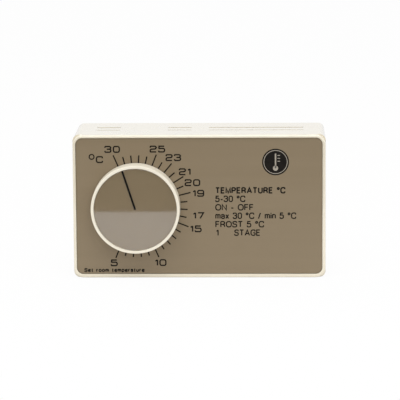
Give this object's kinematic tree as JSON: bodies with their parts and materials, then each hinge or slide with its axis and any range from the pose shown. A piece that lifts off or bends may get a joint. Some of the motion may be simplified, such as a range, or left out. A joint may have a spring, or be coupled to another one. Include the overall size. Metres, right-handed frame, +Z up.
{
  "type": "wall thermostat",
  "caption": "Wall room thermostat: flat rectangular case with round corners, a metal front plate and one large turning temperature knob with a pointer; vents above and below.",
  "frame": {"origin": "centre of the case's back, on the wall", "axes": "+X to the right along the case's length, +Z up, +Y into the wall; the dial faces -Y"},
  "size_m": [0.13, 0.0536, 0.0746],
  "materials": {
    "ivory_plastic": "fine satin, moulded",
    "base_plastic": "moulded",
    "bronze_plate": "satin bronze-taupe anodised",
    "zinc_steel": "zinc plated",
    "board_laminate": "green solder mask",
    "terminal_plastic": "moulded",
    "contact_brass": "bare",
    "core_steel": "laminated",
    "coil_tape": "wound and taped",
    "relay_plastic": "moulded",
    "clear_plastic": "clear",
    "component_epoxy": "moulded epoxy",
    "can_sleeve": "shrunk sleeve",
    "film_box": "moulded box",
    "fuse_glass": "glass with metal caps",
    "resistor_body": "dipped",
    "dial_plastic": "taupe, under a clear window",
    "pointer_ink": "black",
    "window_plastic": "clear, polished",
    "shaft_plastic": "moulded"
  },
  "bodies": {
    "case": {"base_plate": "base_plastic", "cover": "ivory_plastic", "front_plate": "bronze_plate", "cover_screw": "zinc_steel", "circuit_board": "board_laminate", "board_screws": "zinc_steel", "terminal_block": "terminal_plastic", "terminal_clamps": "contact_brass", "terminal_screws": "zinc_steel", "transformer_core": "core_steel", "transformer_coil": "coil_tape", "pot_housing": "zinc_steel", "pot_bushing": "contact_brass", "pot_track": "board_laminate", "relay_base": "relay_plastic", "relay_cover": "clear_plastic", "relay_coil": "coil_tape", "relay_yoke": "core_steel", "relay_contact": "contact_brass", "trimmer_body": "relay_plastic", "sensor_leads": "zinc_steel", "sensor_bead": "component_epoxy", "can_capacitors": "can_sleeve", "film_capacitor": "film_box", "fuse_link": "fuse_glass", "fuse_clips": "contact_brass", "resistors": "resistor_body", "rectifier_diodes": "component_epoxy", "control_chip": "component_epoxy"},
    "knob": {"knob_body": "ivory_plastic", "knob_dial": "dial_plastic", "knob_pointer": "pointer_ink", "knob_window": "window_plastic", "knob_clip": "zinc_steel", "pot_shaft": "shaft_plastic", "pot_wiper": "contact_brass"},
    "relay_armature": {"relay_armature": "core_steel"},
    "trimmer_rotor": {"trimmer_rotor": "terminal_plastic"}
  },
  "joints": [
    {"name": "setting_knob", "type": "hinge", "parent": "case", "child": "knob", "pos_m": [-0.03256, -0.044, 0], "axis": [0, -1, 0], "range_deg": [-220.5, 4.5]},
    {"name": "relay_pull", "type": "hinge", "parent": "case", "child": "relay_armature", "pos_m": [-0.0409, -0.0273, 0.0159], "axis": [0, 0, 1], "range_deg": [0, 4.5], "stiffness_Nm_per_rad": 0.02},
    {"name": "trimmer_turn", "type": "hinge", "parent": "case", "child": "trimmer_rotor", "pos_m": [-0.0491, -0.0168, -0.014], "axis": [0, -1, 0], "range_deg": [-120, 120]}
  ]
}
